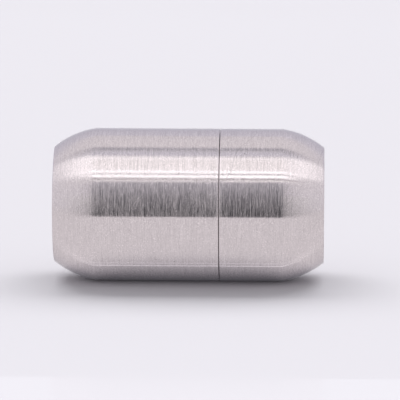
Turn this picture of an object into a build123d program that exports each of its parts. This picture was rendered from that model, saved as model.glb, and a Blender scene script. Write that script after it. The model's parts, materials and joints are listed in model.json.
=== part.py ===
from build123d import *

import os
from math import atan2, cos, hypot, radians, sin

# Magnetic barrel clasp for a round cord, lying on its side.
#
# Each half is a turned stainless steel shell whose outer end is bored for the cord, which is glued in.
# The long half is the socket and the short half is the plug. The plug's nose is a thin steel cup that
# holds a disc magnet behind a rolled lip. It stands out of the plug's shell and drops into the mouth of
# the socket, where the other magnet sits in a cup of its own. The plug's magnet isn't glued, so the plug
# turns freely around it.
#
# Frame: +X along the barrel's axis, towards the plug, and +Z up. The origin is the middle of the barrel
# on its axis, halfway between the faces of the two cups. All sizes are in millimetres.

# The barrel
overall_length = 21.3
barrel_diameter = 12.0
crown_length = 3.25  # from the shoulder to the end face, along the axis
shoulder_share = 0.38  # the crown's slope at the shoulder, as a share of the slope of its chord
web = 1.0  # wall between each cord bore and the magnet's seat
edge_break = 0.05  # chamfer that takes the sharpness off a turned edge

# The cord bores
cord_bore_diameter = 8.0
rim_wall = 0.55  # wall around the mouth of a bore
mouth_chamfer = 0.15
bore_corner_radius = 0.3

# The magnets
magnet_diameter = 8.0
magnet_thickness = 2.6
magnet_chamfer = 0.25
magnet_play = 0.04  # radial, and the end play of the plug's magnet
face_recess = 0.05  # a magnet's face below the rim of its cup

# The cups that hold them
cup_wall = 0.5
cup_floor = 0.5
cup_corner_radius = 0.35
nose_reach = 2.4  # how far the nose stands out of the plug's shell
nose_edge_radius = 0.3

# The fits
face_gap = 0.1  # between the two cups when the clasp is shut
seam_gap = 0.04  # between the two shells when the clasp is shut
nose_clearance = 0.08  # radial, between the nose and the socket's mouth
bond_clearance = 0.03  # radial, around the socket's cup
bond_film = 0.1  # adhesive under each cup

barrel_radius = barrel_diameter / 2
bore_radius = cord_bore_diameter / 2
rim_radius = bore_radius + rim_wall
cup_bore_radius = magnet_diameter / 2 + magnet_play
cup_radius = cup_bore_radius + cup_wall
mouth_radius = cup_radius + nose_clearance
socket_cup_radius = mouth_radius - bond_clearance

# Places along the axis, from the middle of the barrel
end_x = overall_length / 2
cup_face_x = face_gap / 2
magnet_face_x = cup_face_x + face_recess
magnet_back_x = magnet_face_x + magnet_thickness
nose_seat_x = magnet_back_x + magnet_play
plug_seam_x = cup_face_x + nose_reach
socket_seam_x = plug_seam_x - seam_gap


def turned(*edges):
    """A solid turned about the X axis, from a closed outline drawn above it."""
    return revolve(make_face(Curve() + list(edges)), axis=Axis.X)


def mirrored(solid):
    """The same solid on the other side of the middle of the barrel."""
    return mirror(solid, about=Plane.YZ)


def disc_on_axis(near_x, radius, thickness):
    """A plain disc on the X axis, from near_x outwards."""
    return Pos(near_x + thickness / 2) * Rot(0, 90, 0) * Cylinder(radius, thickness)


def crown(shoulder_x, tip_x):
    """The arc of a shell's outer end, from the end face in to the shoulder."""
    drop = barrel_radius - rim_radius
    run = tip_x - shoulder_x
    chord_slope = atan2(drop, run)
    shoulder_slope = chord_slope * shoulder_share
    radius = hypot(run, drop) / 2 / sin(chord_slope - shoulder_slope)
    middle = (
        shoulder_x + radius * (sin(chord_slope) - sin(shoulder_slope)),
        barrel_radius - radius * (cos(shoulder_slope) - cos(chord_slope)),
    )
    return ThreePointArc((tip_x, rim_radius), middle, (shoulder_x, barrel_radius))


def shell(seam_x, seat_x, seat_radius):
    """A turned shell, its cord bore towards +X, its seam face at seam_x and its cup's seat at seat_x."""
    bore_floor_x = seat_x + web
    corner = bore_corner_radius
    corner_middle = corner * (1 - cos(radians(45)))
    outside = Polyline(
        (end_x - crown_length, barrel_radius),
        (seam_x + edge_break, barrel_radius),
        (seam_x, barrel_radius - edge_break),
        (seam_x, seat_radius + edge_break),
        (seam_x + edge_break, seat_radius),
        (seat_x, seat_radius),
        (seat_x, 0),
        (bore_floor_x, 0),
        (bore_floor_x, bore_radius - corner),
    )
    bore_corner = ThreePointArc(
        (bore_floor_x, bore_radius - corner),
        (bore_floor_x + corner_middle, bore_radius - corner_middle),
        (bore_floor_x + corner, bore_radius),
    )
    mouth = Polyline(
        (bore_floor_x + corner, bore_radius),
        (end_x - mouth_chamfer, bore_radius),
        (end_x, bore_radius + mouth_chamfer),
        (end_x, rim_radius),
    )
    return turned(crown(end_x - crown_length, end_x), outside, bore_corner, mouth)


def plug_shell():
    return shell(plug_seam_x, nose_seat_x + cup_floor + bond_film, cup_radius)


def socket_shell():
    """The long shell: its mouth takes the nose, and the same bore runs on to the seat of the cup."""
    cup_seat_x = magnet_back_x + cup_floor + bond_film
    return mirrored(shell(-socket_seam_x, cup_seat_x, mouth_radius))


def magnet():
    """A disc magnet with broken edges, its face towards the middle of the barrel."""
    disc = disc_on_axis(magnet_face_x, magnet_diameter / 2, magnet_thickness)
    return chamfer(disc.edges().filter_by(GeomType.CIRCLE), magnet_chamfer)


def socket_cup():
    """An open steel cup around the socket's magnet."""
    cup_back_x = magnet_back_x + cup_floor
    corner_middle = cup_corner_radius * (1 - cos(radians(45)))
    back_corner = ThreePointArc(
        (cup_back_x, socket_cup_radius - cup_corner_radius),
        (cup_back_x - corner_middle, socket_cup_radius - corner_middle),
        (cup_back_x - cup_corner_radius, socket_cup_radius),
    )
    wall = Polyline(
        (cup_back_x - cup_corner_radius, socket_cup_radius),
        (cup_face_x, socket_cup_radius),
        (cup_face_x, cup_bore_radius),
        (magnet_back_x, cup_bore_radius),
        (magnet_back_x, 0),
        (cup_back_x, 0),
        (cup_back_x, socket_cup_radius - cup_corner_radius),
    )
    return mirrored(turned(back_corner, wall))


def plug_nose():
    """The plug's cup: its rolled lip closes in over the chamfer of the magnet and holds it in."""
    nose_back_x = nose_seat_x + cup_floor
    lip_radius = magnet_diameter / 2 - magnet_chamfer - face_recess + magnet_play
    lip_depth = cup_bore_radius - lip_radius
    edge_middle = nose_edge_radius * (1 - cos(radians(45)))
    tip_edge = ThreePointArc(
        (cup_face_x, cup_radius - nose_edge_radius),
        (cup_face_x + edge_middle, cup_radius - edge_middle),
        (cup_face_x + nose_edge_radius, cup_radius),
    )
    wall = Polyline(
        (cup_face_x + nose_edge_radius, cup_radius),
        (nose_back_x - edge_break, cup_radius),
        (nose_back_x, cup_radius - edge_break),
        (nose_back_x, 0),
        (nose_seat_x, 0),
        (nose_seat_x, cup_bore_radius),
        (cup_face_x + lip_depth, cup_bore_radius),
        (cup_face_x, lip_radius),
        (cup_face_x, cup_radius - nose_edge_radius),
    )
    return turned(tip_edge, wall)


def adhesive(cup_back_x, radius):
    """The film of cured adhesive between the back of a cup and its seat."""
    return disc_on_axis(cup_back_x, radius, bond_film)


socket_film_radius = socket_cup_radius - cup_corner_radius
nodes = {
    "socket_shell": socket_shell(),
    "socket_cup": socket_cup(),
    "socket_magnet": mirrored(magnet()),
    "socket_adhesive": mirrored(adhesive(magnet_back_x + cup_floor, socket_film_radius)),
    "plug_shell": plug_shell(),
    "plug_nose": plug_nose(),
    "plug_magnet": magnet(),
    "plug_adhesive": adhesive(nose_seat_x + cup_floor, cup_radius - edge_break),
}

os.makedirs("parts", exist_ok=True)
for name, solid in nodes.items():
    export_step(solid, f"parts/{name}.step")
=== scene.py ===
"""Magnetic barrel clasp: the finished pieces, their materials and the studio they stand in.

Every turned piece starts as a disc and is drawn out ring by ring, the way its outline runs on the lathe.
Everything is in metres. The barrel lies along X, the plug half towards +X, and +Z is up.
"""

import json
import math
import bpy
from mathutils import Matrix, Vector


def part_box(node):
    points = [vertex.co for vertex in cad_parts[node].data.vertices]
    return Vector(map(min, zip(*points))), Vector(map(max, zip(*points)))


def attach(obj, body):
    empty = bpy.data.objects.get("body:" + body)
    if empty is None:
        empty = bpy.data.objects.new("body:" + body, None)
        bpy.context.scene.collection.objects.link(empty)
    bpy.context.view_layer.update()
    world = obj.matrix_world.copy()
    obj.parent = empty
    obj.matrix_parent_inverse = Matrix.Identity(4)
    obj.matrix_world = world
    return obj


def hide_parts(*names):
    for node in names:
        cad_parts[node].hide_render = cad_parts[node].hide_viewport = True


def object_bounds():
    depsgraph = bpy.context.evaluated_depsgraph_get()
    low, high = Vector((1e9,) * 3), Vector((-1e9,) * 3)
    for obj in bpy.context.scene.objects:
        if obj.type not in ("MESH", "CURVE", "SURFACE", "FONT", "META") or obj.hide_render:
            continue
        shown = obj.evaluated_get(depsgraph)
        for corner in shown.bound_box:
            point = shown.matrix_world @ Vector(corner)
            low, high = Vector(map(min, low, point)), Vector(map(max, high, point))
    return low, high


bl_info = {
    "name": "Magnetic Barrel Clasp",
    "version": (1, 0, 0),
    "blender": (4, 5, 0),
    "location": "3D View > Sidebar > Clasp",
    "description": "Builds the pieces of a brushed steel barrel clasp around its packed model",
    "category": "Object",
}

import bpy
from bpy.props import FloatProperty, FloatVectorProperty, IntProperty, PointerProperty
from mathutils import Matrix, Vector

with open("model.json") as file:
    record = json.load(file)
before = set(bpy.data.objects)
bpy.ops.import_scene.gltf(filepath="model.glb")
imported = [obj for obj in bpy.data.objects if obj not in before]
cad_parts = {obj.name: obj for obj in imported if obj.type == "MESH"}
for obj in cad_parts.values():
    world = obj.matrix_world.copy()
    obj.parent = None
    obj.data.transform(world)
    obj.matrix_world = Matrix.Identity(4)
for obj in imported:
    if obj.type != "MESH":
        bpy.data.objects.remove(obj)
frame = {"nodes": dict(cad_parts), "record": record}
cad_low, cad_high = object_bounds()

MM = 0.001
CORD_BORE_RADIUS = frame["record"]["mounts"][0]["dims"]["r_mm"] * MM
SOCKET, PLUG = -1, 1  # which way along X each half's cord bore opens


# Sizes and colours


class ClaspShape(bpy.types.PropertyGroup):
    """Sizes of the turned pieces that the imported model's boxes don't give."""

    segments: IntProperty(
        name="Segments",
        description="Faces around each turned piece",
        default=256,
        min=48,
        max=512,
    )
    crown_steps: IntProperty(
        name="Crown steps",
        description="Rings along the arc of each rounded end",
        default=28,
        min=6,
        max=64,
    )
    crown_length: FloatProperty(
        name="Crown length",
        description="From the shoulder to the end face, along the axis",
        default=3.25 * MM,
        unit="LENGTH",
    )
    shoulder_share: FloatProperty(
        name="Shoulder share",
        description="The crown's slope at the shoulder, as a share of the slope of its chord",
        default=0.38,
        subtype="FACTOR",
    )
    rim_wall: FloatProperty(
        name="Rim wall",
        description="Wall around the mouth of a cord bore",
        default=0.55 * MM,
        unit="LENGTH",
    )
    mouth_chamfer: FloatProperty(
        name="Mouth chamfer",
        description="Chamfer at the mouth of a cord bore",
        default=0.15 * MM,
        unit="LENGTH",
    )
    web: FloatProperty(
        name="Web",
        description="Wall between a cord bore and the seat of the cup",
        default=1.0 * MM,
        unit="LENGTH",
    )
    bore_corner: FloatProperty(
        name="Bore corner",
        description="Radius between a cord bore's wall and its floor",
        default=0.3 * MM,
        unit="LENGTH",
    )
    edge_round: FloatProperty(
        name="Edge round",
        description="Radius that takes the sharpness off a turned edge",
        default=0.05 * MM,
        unit="LENGTH",
    )
    cup_wall: FloatProperty(
        name="Cup wall",
        description="Sheet thickness of the cups, side and floor",
        default=0.5 * MM,
        unit="LENGTH",
    )
    cup_corner: FloatProperty(
        name="Cup corner",
        description="Outer radius of the drawn corner of the socket's cup",
        default=0.35 * MM,
        unit="LENGTH",
    )
    nose_corner: FloatProperty(
        name="Nose corner",
        description="Outer radius of the nose's rolled edge",
        default=0.3 * MM,
        unit="LENGTH",
    )
    lip_reach: FloatProperty(
        name="Lip reach",
        description="How far the nose's rolled lip closes in over the magnet",
        default=0.3 * MM,
        unit="LENGTH",
    )
    magnet_chamfer: FloatProperty(
        name="Magnet chamfer",
        description="Broken edge of a disc magnet",
        default=0.25 * MM,
        unit="LENGTH",
    )
    bond_gap: FloatProperty(
        name="Bond gap",
        description="Radial gap between the socket's bore and its cup",
        default=0.03 * MM,
        unit="LENGTH",
    )


class ClaspFinish(bpy.types.PropertyGroup):
    """Colours and surface sizes of the finishes."""

    shell_colour: FloatVectorProperty(
        name="Shell colour",
        description="Brushed stainless steel of the shells",
        default=(0.64, 0.58, 0.6),
        subtype="COLOR",
    )
    cup_colour: FloatVectorProperty(
        name="Cup colour",
        description="Drawn steel of the cups",
        default=(0.6, 0.555, 0.57),
        subtype="COLOR",
    )
    magnet_colour: FloatVectorProperty(
        name="Magnet colour",
        description="Nickel plating of the magnets",
        default=(0.71, 0.665, 0.65),
        subtype="COLOR",
    )
    adhesive_colour: FloatVectorProperty(
        name="Adhesive colour",
        description="Cured epoxy behind the cups",
        default=(0.55, 0.4, 0.18),
        subtype="COLOR",
    )
    brush_pitch: FloatProperty(
        name="Brush pitch",
        description="Spacing of the brush lines along the barrel",
        default=0.066 * MM,
        unit="LENGTH",
    )
    brush_stroke: FloatProperty(
        name="Brush stroke",
        description="Length of a brush line around the barrel",
        default=0.55 * MM,
        unit="LENGTH",
    )
    socket_brush_depth: FloatProperty(
        name="Socket brush depth",
        description="Depth of the brush lines on the long shell",
        default=0.016 * MM,
        unit="LENGTH",
    )
    plug_brush_depth: FloatProperty(
        name="Plug brush depth",
        description="Depth of the brush lines on the short shell",
        default=0.011 * MM,
        unit="LENGTH",
    )
    pit_spacing: FloatProperty(
        name="Pit spacing",
        description="Distance between the tiny pits in the steel",
        default=1.3 * MM,
        unit="LENGTH",
    )
    scratch_spacing: FloatProperty(
        name="Scratch spacing",
        description="Distance between the hairline scratches, and the size of the patches they lie in",
        default=7 * MM,
        unit="LENGTH",
    )


class ClaspStage(bpy.types.PropertyGroup):
    """The studio: floor, lights and camera."""

    view_azimuth: FloatProperty(
        name="View azimuth",
        description="How far the camera stands round towards the plug",
        default=math.radians(1.5),
        subtype="ANGLE",
    )
    view_elevation: FloatProperty(
        name="View elevation",
        description="How far the camera looks down",
        default=math.radians(9.5),
        subtype="ANGLE",
    )
    view_roll: FloatProperty(
        name="View roll",
        description="Turn of the camera about its own line of sight",
        default=math.radians(0.15),
        subtype="ANGLE",
    )
    view_distance: FloatProperty(
        name="View distance",
        description="From the camera to the middle of the barrel",
        default=0.44,
        unit="LENGTH",
    )
    lens: FloatProperty(
        name="Lens",
        description="Focal length in millimetres, on a 36 mm sensor",
        default=500.7,
    )
    floor_colour: FloatVectorProperty(
        name="Floor colour",
        description="Pale card that the clasp lies on",
        default=(0.468, 0.458, 0.486),
        subtype="COLOR",
    )
    light_distance: FloatProperty(
        name="Light distance",
        description="From the clasp to the studio's panels",
        default=0.6,
        unit="LENGTH",
    )
    table_reach: FloatProperty(
        name="Table reach",
        description="How far in front of the clasp reflections see the table",
        default=40 * MM,
        unit="LENGTH",
    )


# Turning


def ring_steps(outline, end, steps=1):
    """Adds points to an outline, in equal steps from its last point to end."""
    x, radius = outline[-1]
    for i in range(1, steps + 1):
        outline.append((x + (end[0] - x) * i / steps, radius + (end[1] - radius) * i / steps))


def crown_steps(outline, shape, rim_radius, end_x):
    """Adds the arc of a shell's outer end to an outline, from its shoulder to the end face."""
    drop = outline[-1][1] - rim_radius
    chord_slope = math.atan2(drop, shape.crown_length)
    shoulder_slope = chord_slope * shape.shoulder_share
    rim_slope = 2 * chord_slope - shoulder_slope
    radius = drop / (math.cos(shoulder_slope) - math.cos(rim_slope))
    for i in range(1, shape.crown_steps + 1):
        slope = shoulder_slope + (rim_slope - shoulder_slope) * i / shape.crown_steps
        x = end_x - radius * (math.sin(rim_slope) - math.sin(slope))
        outline.append((x, rim_radius + radius * (math.cos(slope) - math.cos(rim_slope))))


def turn(name, side, outline):
    """A solid turned about the X axis: a disc, drawn out ring by ring, and closed at its last ring."""
    segments = bpy.context.scene.clasp_shape.segments
    (x, radius), *rings = outline
    bpy.ops.object.select_all(action="DESELECT")
    bpy.ops.mesh.primitive_circle_add(
        vertices=segments,
        radius=radius,
        fill_type="TRIFAN",
        location=(side * x, 0, 0),
        rotation=(0, math.pi / 2, 0),
    )
    bpy.ops.object.transform_apply(location=True, rotation=True, scale=True)
    piece = bpy.context.object
    piece.name = name
    bpy.ops.object.mode_set(mode="EDIT")
    bpy.ops.mesh.select_mode(type="VERT")
    bpy.ops.mesh.select_all(action="DESELECT")
    bpy.ops.mesh.select_non_manifold()
    for ring_x, ring_radius in rings:
        step = (side * (ring_x - x), 0, 0)
        bpy.ops.mesh.extrude_region_move(TRANSFORM_OT_translate={"value": step})
        growth = ring_radius / radius
        centre = (side * ring_x, 0, 0)
        bpy.ops.transform.resize(value=(1, growth, growth), center_override=centre)
        x, radius = ring_x, ring_radius
    bpy.ops.mesh.extrude_region_move()
    bpy.ops.mesh.merge(type="CENTER")
    bpy.ops.mesh.select_all(action="SELECT")
    bpy.ops.mesh.normals_make_consistent(inside=False)
    bpy.ops.object.mode_set(mode="OBJECT")
    return piece


def round_corner(piece, x, radius, size, steps):
    """Rounds the ring of edges of a turned piece at one place on its outline."""
    near = 0.002 * MM
    mesh = piece.data
    bpy.ops.object.mode_set(mode="EDIT")
    bpy.ops.mesh.select_mode(type="EDGE")
    bpy.ops.mesh.select_all(action="DESELECT")
    bpy.ops.object.mode_set(mode="OBJECT")
    at_corner = [
        abs(v.co.x - x) < near and abs(math.hypot(v.co.y, v.co.z) - radius) < near for v in mesh.vertices
    ]
    for edge in mesh.edges:
        edge.select = at_corner[edge.vertices[0]] and at_corner[edge.vertices[1]]
    bpy.ops.object.mode_set(mode="EDIT")
    bpy.ops.mesh.bevel(offset=size, segments=steps, profile=0.5, affect="EDGES")
    bpy.ops.object.mode_set(mode="OBJECT")


def apply_modifier(piece, kind, **settings):
    """Adds one modifier to the active piece and applies it."""
    modifier = piece.modifiers.new(kind.title(), kind)
    for key, value in settings.items():
        setattr(modifier, key, value)
    bpy.ops.object.modifier_apply(modifier=modifier.name)


def finish_turned(piece, node, edge_round, material):
    """Breaks the sharp edges, smooths the faces, and puts the piece in the place of its CAD node."""
    apply_modifier(
        piece,
        "BEVEL",
        width=edge_round,
        segments=3,
        limit_method="ANGLE",
        angle_limit=math.radians(28),
    )
    bpy.ops.object.shade_smooth_by_angle(angle=math.radians(40))
    apply_modifier(piece, "WEIGHTED_NORMAL", keep_sharp=True)
    piece.data.materials.append(material)
    record = frame["record"]
    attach(piece, next(b for b, nodes in record["behaviour"]["bodies"].items() if node in nodes))
    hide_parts(node)


# Finishes


def tint(colour, share):
    """A colour made darker or lighter by a share, with full alpha."""
    return [min(1.0, c * share) for c in colour] + [1.0]


class Finish:
    """A material's node tree, with the few kinds of node that the finishes are made of."""

    def __init__(self, name):
        self.material = bpy.data.materials.new(name)
        self.material.use_nodes = True
        self.tree = self.material.node_tree
        self.shader = self.tree.nodes["Principled BSDF"]
        self.place = self.add("ShaderNodeTexCoord").outputs["Object"]

    def feed(self, socket, value):
        if isinstance(value, bpy.types.NodeSocket):
            self.tree.links.new(value, socket)
        else:
            socket.default_value = value

    def add(self, kind, settings=(), **inputs):
        node = self.tree.nodes.new(kind)
        for key, value in dict(settings).items():
            setattr(node, key, value)
        for key, value in inputs.items():
            self.feed(node.inputs[key.replace("_", " ")], value)
        return node

    def math(self, operation, a, b=0.0):
        node = self.add("ShaderNodeMath", {"operation": operation})
        self.feed(node.inputs[0], a)
        self.feed(node.inputs[1], b)
        return node.outputs[0]

    def span(self, value, low, high, to_low=0.0, to_high=1.0, ease="LINEAR"):
        """A value between low and high, carried over to the span from to_low to to_high."""
        node = self.add("ShaderNodeMapRange", {"interpolation_type": ease})
        for socket, number in zip(node.inputs, (value, low, high, to_low, to_high)):
            self.feed(socket, number)
        return node.outputs[0]

    def blend(self, factor, a, b):
        """Colour a where the factor is 0, and b where it is 1."""
        node = self.add("ShaderNodeMix", {"data_type": "RGBA"}, Factor=factor)
        self.feed(node.inputs[6], a)
        self.feed(node.inputs[7], b)
        return node.outputs[2]

    def noise(self, vector, detail=2.0, roughness=0.5):
        node = self.add("ShaderNodeTexNoise", Vector=vector, Scale=1.0, Detail=detail, Roughness=roughness)
        return node.outputs[0]

    def grain(self, size, detail=2.0):
        """Even noise through the object, with spots of one size."""
        node = self.add("ShaderNodeVectorMath", {"operation": "SCALE"}, Vector=self.place, Scale=1.0 / size)
        return self.noise(node.outputs[0], detail)

    def lathe(self, side):
        """How far along its outline a place on a turned surface is, and its direction from the axis."""
        x, y, z = self.add("ShaderNodeSeparateXYZ", Vector=self.place).outputs
        squares = self.math("ADD", self.math("MULTIPLY", y, y), self.math("MULTIPLY", z, z))
        self.radius = self.math("MAXIMUM", self.math("SQRT", squares), 0.05 * MM)
        self.along = self.math("SUBTRACT", self.radius, self.math("MULTIPLY", x, float(side)))
        self.turn_y = self.math("DIVIDE", y, self.radius)
        self.turn_z = self.math("DIVIDE", z, self.radius)

    def strokes(self, pitch, length, shift=0.0, detail=2.0):
        """Noise drawn out into strokes that run round the axis."""
        rounds = cad_high.z / length
        vector = self.add(
            "ShaderNodeCombineXYZ",
            X=self.math("ADD", self.math("MULTIPLY", self.along, 1.0 / pitch), shift),
            Y=self.math("MULTIPLY", self.turn_y, rounds),
            Z=self.math("MULTIPLY", self.turn_z, rounds),
        )
        return self.noise(vector.outputs[0], detail)

    def handling_marks(self):
        """Where a tiny pit or a faint hairline scratch lies, as a share from 0 to 1."""
        look = bpy.context.scene.clasp_finish
        scale = 1 / look.pit_spacing
        spread = self.add("ShaderNodeVectorMath", {"operation": "SCALE"}, Vector=self.place, Scale=scale)
        cells = self.add("ShaderNodeTexVoronoi", Vector=spread.outputs[0], Scale=1.0)
        pit = self.span(cells.outputs["Distance"], 0.03, 0.055, 0.8, 0.0)
        slant = self.math("ADD", self.math("MULTIPLY", self.along, 1 / look.scratch_spacing), self.turn_z)
        curve = self.math("ADD", slant, self.math("MULTIPLY", self.grain(5 * MM, 0.0), 0.8))
        curve = self.math("ABSOLUTE", self.math("SUBTRACT", self.math("FRACT", curve), 0.5))
        scratch = self.span(curve, 0.002, 0.006, 0.26, 0.0)
        scratched = self.math("GREATER_THAN", self.grain(look.scratch_spacing, 0.0), 0.53)
        scratch = self.math("MULTIPLY", scratch, scratched)
        return self.math("MAXIMUM", pit, scratch)

    def glow(self, colour, strength):
        """Makes the material shine instead of reflecting."""
        light = self.add("ShaderNodeEmission", Color=colour, Strength=strength)
        self.tree.nodes.remove(self.shader)
        self.tree.links.new(light.outputs[0], self.tree.nodes["Material Output"].inputs[0])
        return self.material

    def bump(self, height, depth, under=None):
        node = self.add("ShaderNodeBump", Distance=depth, Height=height)
        if under is not None:
            self.feed(node.inputs["Normal"], under)
        return node.outputs[0]

    def metal(self, colour, roughness, normal, anisotropy=0.0):
        """Feeds the shader of a metal whose lines run round the axis."""
        self.feed(self.shader.inputs["Base Color"], colour)
        self.feed(self.shader.inputs["Roughness"], roughness)
        self.feed(self.shader.inputs["Normal"], normal)
        self.shader.inputs["Metallic"].default_value = 1.0
        if anisotropy:
            self.shader.inputs["Anisotropic"].default_value = anisotropy
            self.shader.inputs["Anisotropic Rotation"].default_value = 0.25
            round_axis = self.add("ShaderNodeTangent", {"direction_type": "RADIAL", "axis": "X"})
            self.feed(self.shader.inputs["Tangent"], round_axis.outputs[0])
        return self.material


def brushed_shell(side):
    """Stainless steel brushed round the axis, with short and long lines and painted glints, rougher inside
    the cord bore, where its colour is also darkened as painted shade.
    """
    look = bpy.context.scene.clasp_finish
    n = Finish("brushed_shell_socket" if side == SOCKET else "brushed_shell_plug")
    n.lathe(side)
    pitch, length = look.brush_pitch, look.brush_stroke
    fine = n.strokes(pitch / 2, length * 2, 3.7 * side)
    long = n.strokes(pitch * 1.4, length * 5, 7.9 * side)
    short = n.strokes(pitch, length, 11.3 * side)
    # grain of the steel, which also places the painted glints
    grit_and_glints = n.grain(pitch * 1.2, 0.0)
    line = n.math("MULTIPLY", n.math("ADD", short, long), 0.5)
    sweep = n.strokes(pitch * 8, length * 4, 5.1 * side)
    smudge = n.grain(4 * MM)
    inside = n.math("LESS_THAN", n.radius, CORD_BORE_RADIUS * 1.05)

    base = look.shell_colour
    tone = n.math("ADD", n.math("MULTIPLY", line, 0.7), n.math("MULTIPLY", grit_and_glints, 0.3))
    colour = n.blend(n.span(tone, 0.36, 0.64), tint(base, 0.85), tint(base, 1.14))
    # painted glints: the colour is lifted to tiny bright dots where the grain is highest
    colour = n.blend(n.span(grit_and_glints, 0.68, 0.78, 0.0, 0.35), colour, tint(base, 1.5))
    colour = n.blend(n.span(sweep, 0.35, 0.65, 0.0, 0.3), colour, tint(base, 0.96))
    # painted shade: the colour is darkened inside the cord bore, a recess; the roughness added there below
    # is the real duller finish
    colour = n.blend(n.math("MULTIPLY", inside, 0.5), colour, tint(base, 0.75))
    colour = n.blend(n.handling_marks(), colour, tint(base, 0.45))

    roughness = n.math("ADD", n.span(line, 0.38, 0.62, 0.08, 0.24), n.span(smudge, 0.35, 0.65, 0.0, 0.03))
    roughness = n.math("ADD", roughness, n.math("MULTIPLY", inside, 0.12))
    depth = look.socket_brush_depth if side == SOCKET else look.plug_brush_depth
    normal = n.bump(long, depth, n.bump(fine, depth * 0.6))
    n.shader.inputs["Specular Tint"].default_value = (0.7, 0.69, 0.72, 1.0)
    return n.metal(colour, roughness, normal, anisotropy=1.0)


def drawn_steel():
    """Sheet steel drawn into a cup: satin, with faint lines round the wall."""
    look = bpy.context.scene.clasp_finish
    n = Finish("drawn_cup_steel")
    n.lathe(PLUG)
    lines = n.strokes(0.06 * MM, 5 * MM)
    grain = n.grain(0.11 * MM, 3.0)
    patch = n.grain(1.7 * MM)
    colour = n.blend(n.span(patch, 0.3, 0.7), tint(look.cup_colour, 0.86), tint(look.cup_colour, 1.06))
    roughness = n.span(grain, 0.3, 0.7, 0.26, 0.38)
    return n.metal(colour, roughness, n.bump(lines, 0.8e-6, n.bump(grain, 0.6e-6)), anisotropy=0.4)


def nickel_plating():
    """Bright nickel over a sintered magnet: a faint orange peel, and haze where the faces have met."""
    look = bpy.context.scene.clasp_finish
    n = Finish("nickel_plating")
    peel = n.grain(0.4 * MM)
    haze = n.grain(2 * MM, 4.0)
    colour = n.blend(n.span(haze, 0.3, 0.7), tint(look.magnet_colour, 0.9), tint(look.magnet_colour, 1.06))
    return n.metal(colour, n.span(haze, 0.35, 0.7, 0.1, 0.26), n.bump(peel, 1.5e-6))


def cured_epoxy():
    """Amber two-part adhesive, glossy, with a cloudy middle."""
    look = bpy.context.scene.clasp_finish
    n = Finish("cured_epoxy")
    cloud = n.grain(1.1 * MM, 3.0)
    dark, light = tint(look.adhesive_colour, 0.75), tint(look.adhesive_colour, 1.25)
    colour = n.blend(n.span(cloud, 0.3, 0.7), dark, light)
    n.feed(n.shader.inputs["Base Color"], colour)
    n.feed(n.shader.inputs["Roughness"], n.span(cloud, 0.3, 0.7, 0.18, 0.35))
    n.feed(n.shader.inputs["Normal"], n.bump(cloud, 8e-6))
    n.shader.inputs["Coat Weight"].default_value = 0.4
    return n.material


# Pieces


def reach(node, side):
    """A CAD node's near and far ends along X, counted from the middle towards one side."""
    low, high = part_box(node)
    return (low.x, high.x) if side == PLUG else (-high.x, -low.x)


def build_shell(node, side, seat_x, seat_radius):
    """A turned shell: seat, seam face, barrel, crown, rim and cord bore."""
    shape = bpy.context.scene.clasp_shape
    seam_x, end_x = reach(node, side)
    bore_radius = CORD_BORE_RADIUS
    rim_radius = bore_radius + shape.rim_wall
    floor_x = seat_x + shape.web
    chamfer = shape.mouth_chamfer
    outline = [(seat_x, seat_radius / 4)]
    ring_steps(outline, (seat_x, seat_radius), 3)
    ring_steps(outline, (seam_x, seat_radius), 4)
    ring_steps(outline, (seam_x, cad_high.z), 2)
    ring_steps(outline, (end_x - shape.crown_length, cad_high.z), 12)
    crown_steps(outline, shape, rim_radius, end_x)
    ring_steps(outline, (end_x, bore_radius + chamfer), 2)
    ring_steps(outline, (end_x - chamfer, bore_radius))
    ring_steps(outline, (floor_x, bore_radius), 8)
    ring_steps(outline, (floor_x, bore_radius / 4), 3)
    piece = turn(node + "_brushed", side, outline)
    round_corner(piece, side * floor_x, bore_radius, shape.bore_corner, 6)
    finish_turned(piece, node, shape.edge_round, brushed_shell(side))


class CLASP_OT_socket_shell(bpy.types.Operator):
    """Turn the long shell, with the mouth that takes the nose"""

    bl_idname = "clasp.socket_shell"
    bl_label = "Socket Shell"

    def execute(self, context):
        seat_x = reach("socket_adhesive", SOCKET)[1]
        mouth_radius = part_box("socket_cup")[1].z + context.scene.clasp_shape.bond_gap
        build_shell("socket_shell", SOCKET, seat_x, mouth_radius)
        return {"FINISHED"}


class CLASP_OT_plug_shell(bpy.types.Operator):
    """Turn the short shell, with the seat that the nose is pressed into"""

    bl_idname = "clasp.plug_shell"
    bl_label = "Plug Shell"

    def execute(self, context):
        seat_x = reach("plug_adhesive", PLUG)[1]
        build_shell("plug_shell", PLUG, seat_x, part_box("plug_nose")[1].z)
        return {"FINISHED"}


class CLASP_OT_socket_cup(bpy.types.Operator):
    """Draw the open cup around the socket's magnet"""

    bl_idname = "clasp.socket_cup"
    bl_label = "Socket Cup"

    def execute(self, context):
        shape = context.scene.clasp_shape
        face_x, back_x = reach("socket_cup", SOCKET)
        floor_x = reach("socket_magnet", SOCKET)[1]
        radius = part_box("socket_cup")[1].z
        bore_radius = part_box("plug_nose")[1].z - shape.cup_wall
        outline = [(floor_x, bore_radius / 4)]
        ring_steps(outline, (floor_x, bore_radius), 3)
        ring_steps(outline, (face_x, bore_radius), 4)
        ring_steps(outline, (face_x, radius), 2)
        ring_steps(outline, (back_x, radius), 4)
        ring_steps(outline, (back_x, radius / 4), 3)
        piece = turn("socket_cup_drawn", SOCKET, outline)
        round_corner(piece, -back_x, radius, shape.cup_corner, 6)
        finish_turned(piece, "socket_cup", shape.edge_round, drawn_steel())
        return {"FINISHED"}


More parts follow.
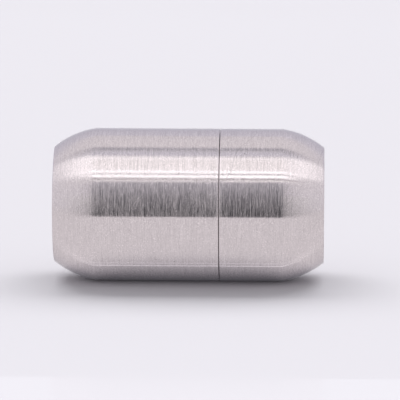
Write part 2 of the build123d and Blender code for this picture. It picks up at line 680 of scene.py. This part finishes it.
class CLASP_OT_plug_nose(bpy.types.Operator):
    """Draw the plug's cup and roll its lip in over the magnet"""

    bl_idname = "clasp.plug_nose"
    bl_label = "Plug Nose"

    def execute(self, context):
        shape = context.scene.clasp_shape
        face_x, back_x = reach("plug_nose", PLUG)
        floor_x = back_x - shape.cup_wall
        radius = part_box("plug_nose")[1].z
        bore_radius = radius - shape.cup_wall
        lip = shape.lip_reach
        outline = [(floor_x, bore_radius / 4)]
        ring_steps(outline, (floor_x, bore_radius), 3)
        ring_steps(outline, (face_x + lip, bore_radius), 4)
        ring_steps(outline, (face_x, bore_radius - lip))
        ring_steps(outline, (face_x, radius))
        ring_steps(outline, (back_x, radius), 5)
        ring_steps(outline, (back_x, radius / 4), 3)
        piece = turn("plug_nose_rolled", PLUG, outline)
        round_corner(piece, face_x, radius, shape.nose_corner, 6)
        finish_turned(piece, "plug_nose", shape.edge_round, drawn_steel())
        return {"FINISHED"}


class CLASP_OT_magnets(bpy.types.Operator):
    """Turn the two disc magnets, with their broken and plated edges"""

    bl_idname = "clasp.magnets"
    bl_label = "Magnets"

    def execute(self, context):
        shape = context.scene.clasp_shape
        plating = nickel_plating()
        for node, side in (("socket_magnet", SOCKET), ("plug_magnet", PLUG)):
            face_x, back_x = reach(node, side)
            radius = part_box(node)[1].z
            chamfer = shape.magnet_chamfer
            outline = [(face_x, radius / 4)]
            ring_steps(outline, (face_x, radius - chamfer), 3)
            ring_steps(outline, (face_x + chamfer, radius))
            ring_steps(outline, (back_x - chamfer, radius), 3)
            ring_steps(outline, (back_x, radius - chamfer))
            ring_steps(outline, (back_x, radius / 4), 3)
            piece = turn(node + "_plated", side, outline)
            finish_turned(piece, node, shape.edge_round, plating)
        return {"FINISHED"}


class CLASP_OT_adhesive(bpy.types.Operator):
    """Give the two films of adhesive their cured epoxy"""

    bl_idname = "clasp.adhesive"
    bl_label = "Adhesive"

    def execute(self, context):
        epoxy = cured_epoxy()
        for node in ("socket_adhesive", "plug_adhesive"):
            film = frame["nodes"][node]
            film.data.materials.clear()
            film.data.materials.append(epoxy)
        return {"FINISHED"}


# Stage


# Colours of the light from the panels
WHITE = (1.0, 1.0, 1.0, 1.0)
COOL = (0.97, 0.98, 1.05, 1.0)
WARM = (1.0, 0.995, 0.975, 1.0)

# Two painted bright strips, painted highlights on the glowing table that reflections see: place along Y, and
# light added to the table's own painted glow
TABLE_PAINTED_STRIPS = ((-4.42 * MM, 0.25), (-4.02 * MM, 0.5))

# From the middle of the clasp to the place that the camera looks at
CAMERA_AIM = Vector((0.838 * MM, 0, 0.35 * MM))


def only_in_reflections(panel):
    """Hides a panel from everything but the reflections in the clasp."""
    panel.visible_camera = False
    panel.visible_diffuse = False
    panel.visible_shadow = False
    panel.visible_transmission = False


def studio_card(name, low, high, left, right, strength, top_strength=None, bend=1.0, tone=WHITE):
    """A card that only reflections see, between two elevations and two azimuths in degrees.

    Elevation 0 is the front, 90 is overhead and 180 is the back. Azimuths are positive towards the plug.
    The glow runs from strength at the lower edge to top_strength at the upper one, along a curve whose
    power is bend, and has the colour tone.
    """
    distance = bpy.context.scene.clasp_stage.light_distance
    elevation = math.radians((low + high) / 2)
    height = 2 * distance * math.tan(math.radians(high - low) / 2)
    from_x = distance * math.tan(math.radians(left))
    to_x = distance * math.tan(math.radians(right))
    bpy.ops.object.select_all(action="DESELECT")
    bpy.ops.mesh.primitive_plane_add(
        size=1,
        location=((from_x + to_x) / 2, -distance * math.cos(elevation), distance * math.sin(elevation)),
        rotation=(math.pi / 2 - elevation, 0, 0),
    )
    card = bpy.context.object
    card.name = name
    card.scale = (to_x - from_x, height, 1)
    n = Finish(name)
    rise = n.math("ADD", n.add("ShaderNodeSeparateXYZ", Vector=n.place).outputs[1], 0.5)
    last = strength if top_strength is None else top_strength
    card.data.materials.append(n.glow(tone, n.span(n.math("POWER", rise, bend), 0, 1, strength, last)))
    only_in_reflections(card)


def side_lamp(side):
    """A long lamp overhead, at one side, that runs outwards and back and fades towards its far end."""
    distance = bpy.context.scene.clasp_stage.light_distance
    name, inner, outer = ("side_lamp_socket", 1.8, 1.0) if side == SOCKET else ("side_lamp_plug", 1.4, 1.5)
    bpy.ops.object.select_all(action="DESELECT")
    bpy.ops.mesh.primitive_plane_add(
        size=1,
        location=(side * 0.86 * distance, -0.17 * distance, distance),
        rotation=(0, 0, side * math.radians(27)),
    )
    lamp = bpy.context.object
    lamp.name = name
    lamp.scale = (1.35 * distance, 0.8 * distance, 1)
    n = Finish(name)
    outwards = n.math("MULTIPLY", n.add("ShaderNodeSeparateXYZ", Vector=n.place).outputs[0], float(side))
    lamp.data.materials.append(n.glow(WHITE, n.span(outwards, -0.4, 0.5, inner, outer)))
    only_in_reflections(lamp)


def soft_lamp(name, elevation, width, depth, power):
    """A rectangular lamp, well behind the panels, that lights the floor and is in no reflection."""
    distance = 2.5 * bpy.context.scene.clasp_stage.light_distance
    angle = math.radians(elevation)
    bpy.ops.object.select_all(action="DESELECT")
    bpy.ops.object.light_add(
        type="AREA",
        location=(0, -distance * math.cos(angle), distance * math.sin(angle)),
        rotation=(math.pi / 2 - angle, 0, 0),
    )
    lamp = bpy.context.object
    lamp.name = name
    lamp.data.shape = "RECTANGLE"
    lamp.data.size = width
    lamp.data.size_y = depth
    lamp.data.energy = power
    lamp.visible_camera = False
    lamp.visible_glossy = False


class CLASP_OT_stage(bpy.types.Operator):
    """Set up the floor, the soft light and the camera"""

    bl_idname = "clasp.stage"
    bl_label = "Stage"

    def execute(self, context):
        stage = context.scene.clasp_stage
        self.lay_floor(stage)
        self.lay_table_in_reflections(stage)
        self.light_room(context.scene)
        self.hang_cards()
        self.stand_camera(context.scene, stage)
        return {"FINISHED"}

    def lay_floor(self, stage):
        """A nearly matt floor, with only a trace of a mirror image."""
        bpy.ops.object.select_all(action="DESELECT")
        bpy.ops.mesh.primitive_plane_add(size=6, location=(0, 0, cad_low.z))
        floor = bpy.context.object
        floor.name = "studio_floor"
        n = Finish("pale_card")
        n.shader.inputs["Base Color"].default_value = (*stage.floor_colour, 1.0)
        n.shader.inputs["Roughness"].default_value = 0.12
        n.shader.inputs["Specular IOR Level"].default_value = 0.004
        floor.data.materials.append(n.material)
        floor.visible_glossy = False

    def lay_table_in_reflections(self, stage):
        """A glowing table top that only reflections see, with its light and shade painted into its glow, and
        two painted bright strips.

        Its glow is darker where the clasp keeps the light off it: a painted contact shadow from ambient
        occlusion, cooler in tone in the shade.
        """
        size = 3.0
        bpy.ops.object.select_all(action="DESELECT")
        place = (0, size / 2 - stage.table_reach, cad_low.z + 0.01 * MM)
        bpy.ops.mesh.primitive_plane_add(size=size, location=place)
        table = bpy.context.object
        table.name = "painted_light_table"
        n = Finish("painted_light_table")
        # painted contact shadow: the table's glow is dimmed by ambient occlusion where the clasp is near,
        # and tinted cooler there
        shade = n.add("ShaderNodeAmbientOcclusion", {"samples": 8}, Distance=0.1)
        light = n.span(shade.outputs["AO"], -0.05, 0.6, 0.07, 0.92, "SMOOTHSTEP")
        tone = n.blend(light, (0.98, 0.98, 1.08, 1.0), (1.0, 0.985, 0.985, 1.0))
        depth = n.math("ADD", n.add("ShaderNodeSeparateXYZ", Vector=n.place).outputs[1], place[1])
        # painted highlights: two thin bright strips added to the table's glow
        for strip_y, strip_light in TABLE_PAINTED_STRIPS:
            away = n.math("ABSOLUTE", n.math("SUBTRACT", depth, strip_y))
            light = n.math("ADD", light, n.span(away, 0.05 * MM, 0.07 * MM, strip_light, 0.0))
        table.data.materials.append(n.glow(tone, light))
        only_in_reflections(table)

    def light_room(self, scene):
        world = bpy.data.worlds.new("studio_room")
        world.use_nodes = True
        tree = world.node_tree
        coordinates = tree.nodes.new("ShaderNodeTexCoord")
        parts = tree.nodes.new("ShaderNodeSeparateXYZ")
        ramp = tree.nodes.new("ShaderNodeValToRGB")
        ramp.color_ramp.elements[0].position = 0.0
        ramp.color_ramp.elements[0].color = (0.92, 0.915, 0.95, 1)
        ramp.color_ramp.elements[1].position = 0.9
        ramp.color_ramp.elements[1].color = (0.97, 0.96, 0.97, 1)
        background = tree.nodes["Background"]
        tree.links.new(coordinates.outputs["Generated"], parts.inputs[0])
        tree.links.new(parts.outputs[2], ramp.inputs[0])
        tree.links.new(ramp.outputs[0], background.inputs["Color"])
        scene.world = world
        soft_lamp("back_softbox", 122, 2.2, 1.1, 38.0)

    def hang_cards(self):
        studio_card("overhead_panel", 62.2, 83.9, -17, 17, 1.27, 1.2, tone=WARM)
        studio_card("overhead_edge", 88, 97.5, -32, 32, 0.86, 0.84, tone=COOL)
        studio_card("overhead_gap", 98.5, 105.5, -32, 32, 0.6, 0.57, tone=COOL)
        studio_card("back_wall", 137, 178, -70, 70, 0.92, 0.92, tone=COOL)
        studio_card("upper_bar", 57.3, 61.2, -27, 27, 2.1)
        studio_card("thin_gap", 55.0, 57.2, -27, 27, 0.04)
        studio_card("middle_bar", 50.2, 54.9, -27, 27, 2.2)
        studio_card("bar_gap", 47.2, 50, -27, 27, 0.3, tone=WARM)
        studio_card("lower_bar", 44.2, 46.8, -27, 27, 1.4, tone=WARM)
        studio_card("front_opening", -10.4, 43.9, -18, 20, 0.07, 0.52, bend=1.6, tone=COOL)
        studio_card("left_shade", -10.4, 24, -52, -18.5, 0.74, 0.95)
        studio_card("right_shade", -10.4, 24, 20.5, 52, 0.68, 0.95)
        for side in (SOCKET, PLUG):
            side_lamp(side)

    def stand_camera(self, scene, stage):
        azimuth, elevation = stage.view_azimuth, stage.view_elevation
        back = Vector(
            (
                math.sin(azimuth) * math.cos(elevation),
                -math.cos(azimuth) * math.cos(elevation),
                math.sin(elevation),
            )
        )
        middle = (cad_low + cad_high) / 2
        place = middle + back * stage.view_distance
        direction = middle + CAMERA_AIM - place
        bpy.ops.object.select_all(action="DESELECT")
        bpy.ops.object.camera_add(location=place)
        camera = bpy.context.object
        camera.name = "studio_camera"
        turn_to = direction.to_track_quat("-Z", "Y").to_matrix()
        roll = Matrix.Rotation(stage.view_roll, 3, "Z")
        camera.rotation_euler = (turn_to @ roll).to_euler()
        camera.data.lens = stage.lens
        camera.data.clip_start = 0.01
        camera.data.clip_end = 20
        scene.camera = camera
        scene.view_settings.view_transform = "Standard"


# Panel and registration


class CLASP_PT_panel(bpy.types.Panel):
    """The clasp's sizes, finishes and building steps"""

    bl_idname = "CLASP_PT_panel"
    bl_label = "Magnetic Barrel Clasp"
    bl_space_type = "VIEW_3D"
    bl_region_type = "UI"
    bl_category = "Clasp"

    def draw(self, context):
        for title, group in (
            ("Shape", context.scene.clasp_shape),
            ("Finish", context.scene.clasp_finish),
            ("Stage", context.scene.clasp_stage),
        ):
            box = self.layout.box()
            box.label(text=title)
            for key in group.__annotations__:
                box.prop(group, key)
        for step in STEPS:
            self.layout.operator(step.bl_idname)


STEPS = (
    CLASP_OT_socket_shell,
    CLASP_OT_plug_shell,
    CLASP_OT_socket_cup,
    CLASP_OT_plug_nose,
    CLASP_OT_magnets,
    CLASP_OT_adhesive,
    CLASP_OT_stage,
)
GROUPS = {"clasp_shape": ClaspShape, "clasp_finish": ClaspFinish, "clasp_stage": ClaspStage}
CLASSES = (*GROUPS.values(), *STEPS, CLASP_PT_panel)


def register():
    for cls in CLASSES:
        bpy.utils.register_class(cls)
    for name, group in GROUPS.items():
        setattr(bpy.types.Scene, name, PointerProperty(type=group))


def unregister():
    for name in GROUPS:
        delattr(bpy.types.Scene, name)
    for cls in reversed(CLASSES):
        bpy.utils.unregister_class(cls)


def main():
    register()
    bpy.ops.clasp.socket_shell()
    bpy.ops.clasp.plug_shell()
    bpy.ops.clasp.socket_cup()
    bpy.ops.clasp.plug_nose()
    bpy.ops.clasp.magnets()
    bpy.ops.clasp.adhesive()
    bpy.ops.clasp.stage()


if __name__ == "__main__":
    main()
